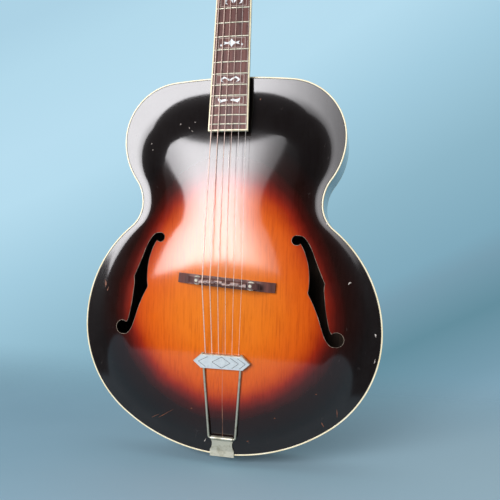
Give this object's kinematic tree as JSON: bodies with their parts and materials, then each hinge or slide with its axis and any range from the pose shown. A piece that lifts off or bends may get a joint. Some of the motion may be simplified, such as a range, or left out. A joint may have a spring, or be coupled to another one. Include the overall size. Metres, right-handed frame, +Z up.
{
  "type": "archtop guitar",
  "caption": "Archtop guitar with carved sunburst body, f-holes, bound fingerboard, floating height-adjustable bridge, trapeze tailpiece and geared tuners.",
  "frame": {"origin": "middle of the head between its flared sides, where a hanger's yoke holds the guitar", "axes": "+Z up the body's centre line towards the head, +X to the treble side, strings face -Y"},
  "size_m": [0.41, 0.1565, 1.0504],
  "materials": {
    "spruce_sunburst": "gloss lacquer",
    "maple_sunburst": "gloss lacquer",
    "bare_spruce": "bare",
    "cream_celluloid": "gloss",
    "black_celluloid": "gloss",
    "mahogany": "gloss lacquer",
    "rosewood": "oiled",
    "black_veneer": "gloss lacquer",
    "pearl": "pearlescent",
    "bone": "polished",
    "nickel": "aged nickel plate",
    "steel": "plain",
    "string_wire": "wound and plain wire",
    "brass": "plain"
  },
  "bodies": {
    "guitar": {"top_plate": "spruce_sunburst", "back_plate": "maple_sunburst", "rib_bass": "maple_sunburst", "rib_treble": "maple_sunburst", "head_block": "bare_spruce", "tail_block": "bare_spruce", "linings": "bare_spruce", "tone_bars": "bare_spruce", "binding_top": "cream_celluloid", "binding_back": "cream_celluloid", "purfling_lines": "black_celluloid", "neck": "mahogany", "heel_cap": "cream_celluloid", "truss_rod": "steel", "truss_rod_cover": "black_celluloid", "wood_screws": "nickel", "fingerboard": "rosewood", "fingerboard_binding": "cream_celluloid", "frets": "nickel", "fret_inlays": "pearl", "inlay_frames": "pearl", "side_dots": "black_celluloid", "nut": "bone", "headstock_overlay": "black_veneer", "tuner_plate_bass": "nickel", "tuner_plate_treble": "nickel", "tuner_bushings": "nickel", "bridge_base": "rosewood", "bridge_posts": "nickel", "tail_bracket": "nickel", "end_pin": "nickel", "strings_head": "string_wire", "strings_speaking": "string_wire"},
    "key_1": {"tuner_key_1": "nickel"},
    "post_1": {"string_post_1": "nickel", "string_coil_1": "string_wire"},
    "key_2": {"tuner_key_2": "nickel"},
    "post_2": {"string_post_2": "nickel", "string_coil_2": "string_wire"},
    "key_3": {"tuner_key_3": "nickel"},
    "post_3": {"string_post_3": "nickel", "string_coil_3": "string_wire"},
    "key_4": {"tuner_key_4": "nickel"},
    "post_4": {"string_post_4": "nickel", "string_coil_4": "string_wire"},
    "key_5": {"tuner_key_5": "nickel"},
    "post_5": {"string_post_5": "nickel", "string_coil_5": "string_wire"},
    "key_6": {"tuner_key_6": "nickel"},
    "post_6": {"string_post_6": "nickel", "string_coil_6": "string_wire"},
    "truss_nut": {"truss_rod_nut": "steel"},
    "saddle": {"bridge_saddle": "rosewood"},
    "wheel_bass": {"thumbwheel_bass": "nickel"},
    "wheel_treble": {"thumbwheel_treble": "nickel"},
    "tailpiece": {"tailpiece_rod": "nickel", "crossbar": "nickel", "crossbar_cover": "pearl", "ball_ends": "brass", "strings_behind_bridge": "string_wire"}
  },
  "joints": [
    {"name": "tuner_key_1_turn", "type": "hinge", "parent": "guitar", "child": "key_1", "pos_m": [0.0255, 0.0243, 0.03612], "axis": [1, 0, 0], "continuous": true},
    {"name": "string_post_1_turn", "type": "hinge", "parent": "guitar", "child": "post_1", "pos_m": [0.0255, 0.00442, 0.0342], "axis": [0, 0.9426, -0.3338], "continuous": true},
    {"name": "tuner_key_2_turn", "type": "hinge", "parent": "guitar", "child": "key_2", "pos_m": [0.0255, 0.03699, 0.07194], "axis": [1, 0, 0], "continuous": true},
    {"name": "string_post_2_turn", "type": "hinge", "parent": "guitar", "child": "post_2", "pos_m": [0.0255, 0.0171, 0.07002], "axis": [0, 0.9426, -0.3338], "continuous": true},
    {"name": "tuner_key_3_turn", "type": "hinge", "parent": "guitar", "child": "key_3", "pos_m": [0.0255, 0.04967, 0.10776], "axis": [1, 0, 0], "continuous": true},
    {"name": "string_post_3_turn", "type": "hinge", "parent": "guitar", "child": "post_3", "pos_m": [0.0255, 0.02979, 0.10584], "axis": [0, 0.9426, -0.3338], "continuous": true},
    {"name": "tuner_key_4_turn", "type": "hinge", "parent": "guitar", "child": "key_4", "pos_m": [-0.0255, 0.04967, 0.10776], "axis": [-1, 0, 0], "continuous": true},
    {"name": "string_post_4_turn", "type": "hinge", "parent": "guitar", "child": "post_4", "pos_m": [-0.0255, 0.02979, 0.10584], "axis": [0, 0.9426, -0.3338], "continuous": true},
    {"name": "tuner_key_5_turn", "type": "hinge", "parent": "guitar", "child": "key_5", "pos_m": [-0.0255, 0.03699, 0.07194], "axis": [-1, 0, 0], "continuous": true},
    {"name": "string_post_5_turn", "type": "hinge", "parent": "guitar", "child": "post_5", "pos_m": [-0.0255, 0.0171, 0.07002], "axis": [0, 0.9426, -0.3338], "continuous": true},
    {"name": "tuner_key_6_turn", "type": "hinge", "parent": "guitar", "child": "key_6", "pos_m": [-0.0255, 0.0243, 0.03612], "axis": [-1, 0, 0], "continuous": true},
    {"name": "string_post_6_turn", "type": "hinge", "parent": "guitar", "child": "post_6", "pos_m": [-0.0255, 0.00442, 0.0342], "axis": [0, 0.9426, -0.3338], "continuous": true},
    {"name": "truss_rod_nut_turn", "type": "hinge", "parent": "guitar", "child": "truss_nut", "pos_m": [0, -0.00208, 0.00017], "axis": [0, 0.0785, 0.9969], "range_deg": [-180, 180]},
    {"name": "saddle_lift", "type": "slide", "parent": "guitar", "child": "saddle", "axis": [0, -1, 0], "range_m": [-0.001, 0.0015], "deforming": ["strings_speaking", "strings_behind_bridge"]},
    {"name": "thumbwheel_bass_turn", "type": "hinge", "parent": "saddle", "child": "wheel_bass", "pos_m": [-0.03321, -0.05928, -0.64118], "axis": [0, -1, 0], "range_deg": [-514.3, 771.5]},
    {"name": "thumbwheel_treble_turn", "type": "hinge", "parent": "saddle", "child": "wheel_treble", "pos_m": [0.03861, -0.05928, -0.6462], "axis": [0, -1, 0], "range_deg": [-514.3, 771.5]},
    {"name": "tailpiece_hinge", "type": "hinge", "parent": "guitar", "child": "tailpiece", "pos_m": [0, -0.03001, -0.85249], "axis": [1, 0, 0], "range_deg": [-0.3, 2], "stiffness_Nm_per_rad": 20, "deforming": ["strings_behind_bridge"]}
  ],
  "couplings": [
    {"joint": "string_post_1_turn", "follows": "tuner_key_1_turn", "ratio": -0.071429},
    {"joint": "string_post_2_turn", "follows": "tuner_key_2_turn", "ratio": -0.071429},
    {"joint": "string_post_3_turn", "follows": "tuner_key_3_turn", "ratio": -0.071429},
    {"joint": "string_post_4_turn", "follows": "tuner_key_4_turn", "ratio": -0.071429},
    {"joint": "string_post_5_turn", "follows": "tuner_key_5_turn", "ratio": -0.071429},
    {"joint": "string_post_6_turn", "follows": "tuner_key_6_turn", "ratio": -0.071429},
    {"joint": "thumbwheel_bass_turn", "follows": "saddle_lift", "rad_per_m": 8976},
    {"joint": "thumbwheel_treble_turn", "follows": "saddle_lift", "rad_per_m": 8976}
  ]
}
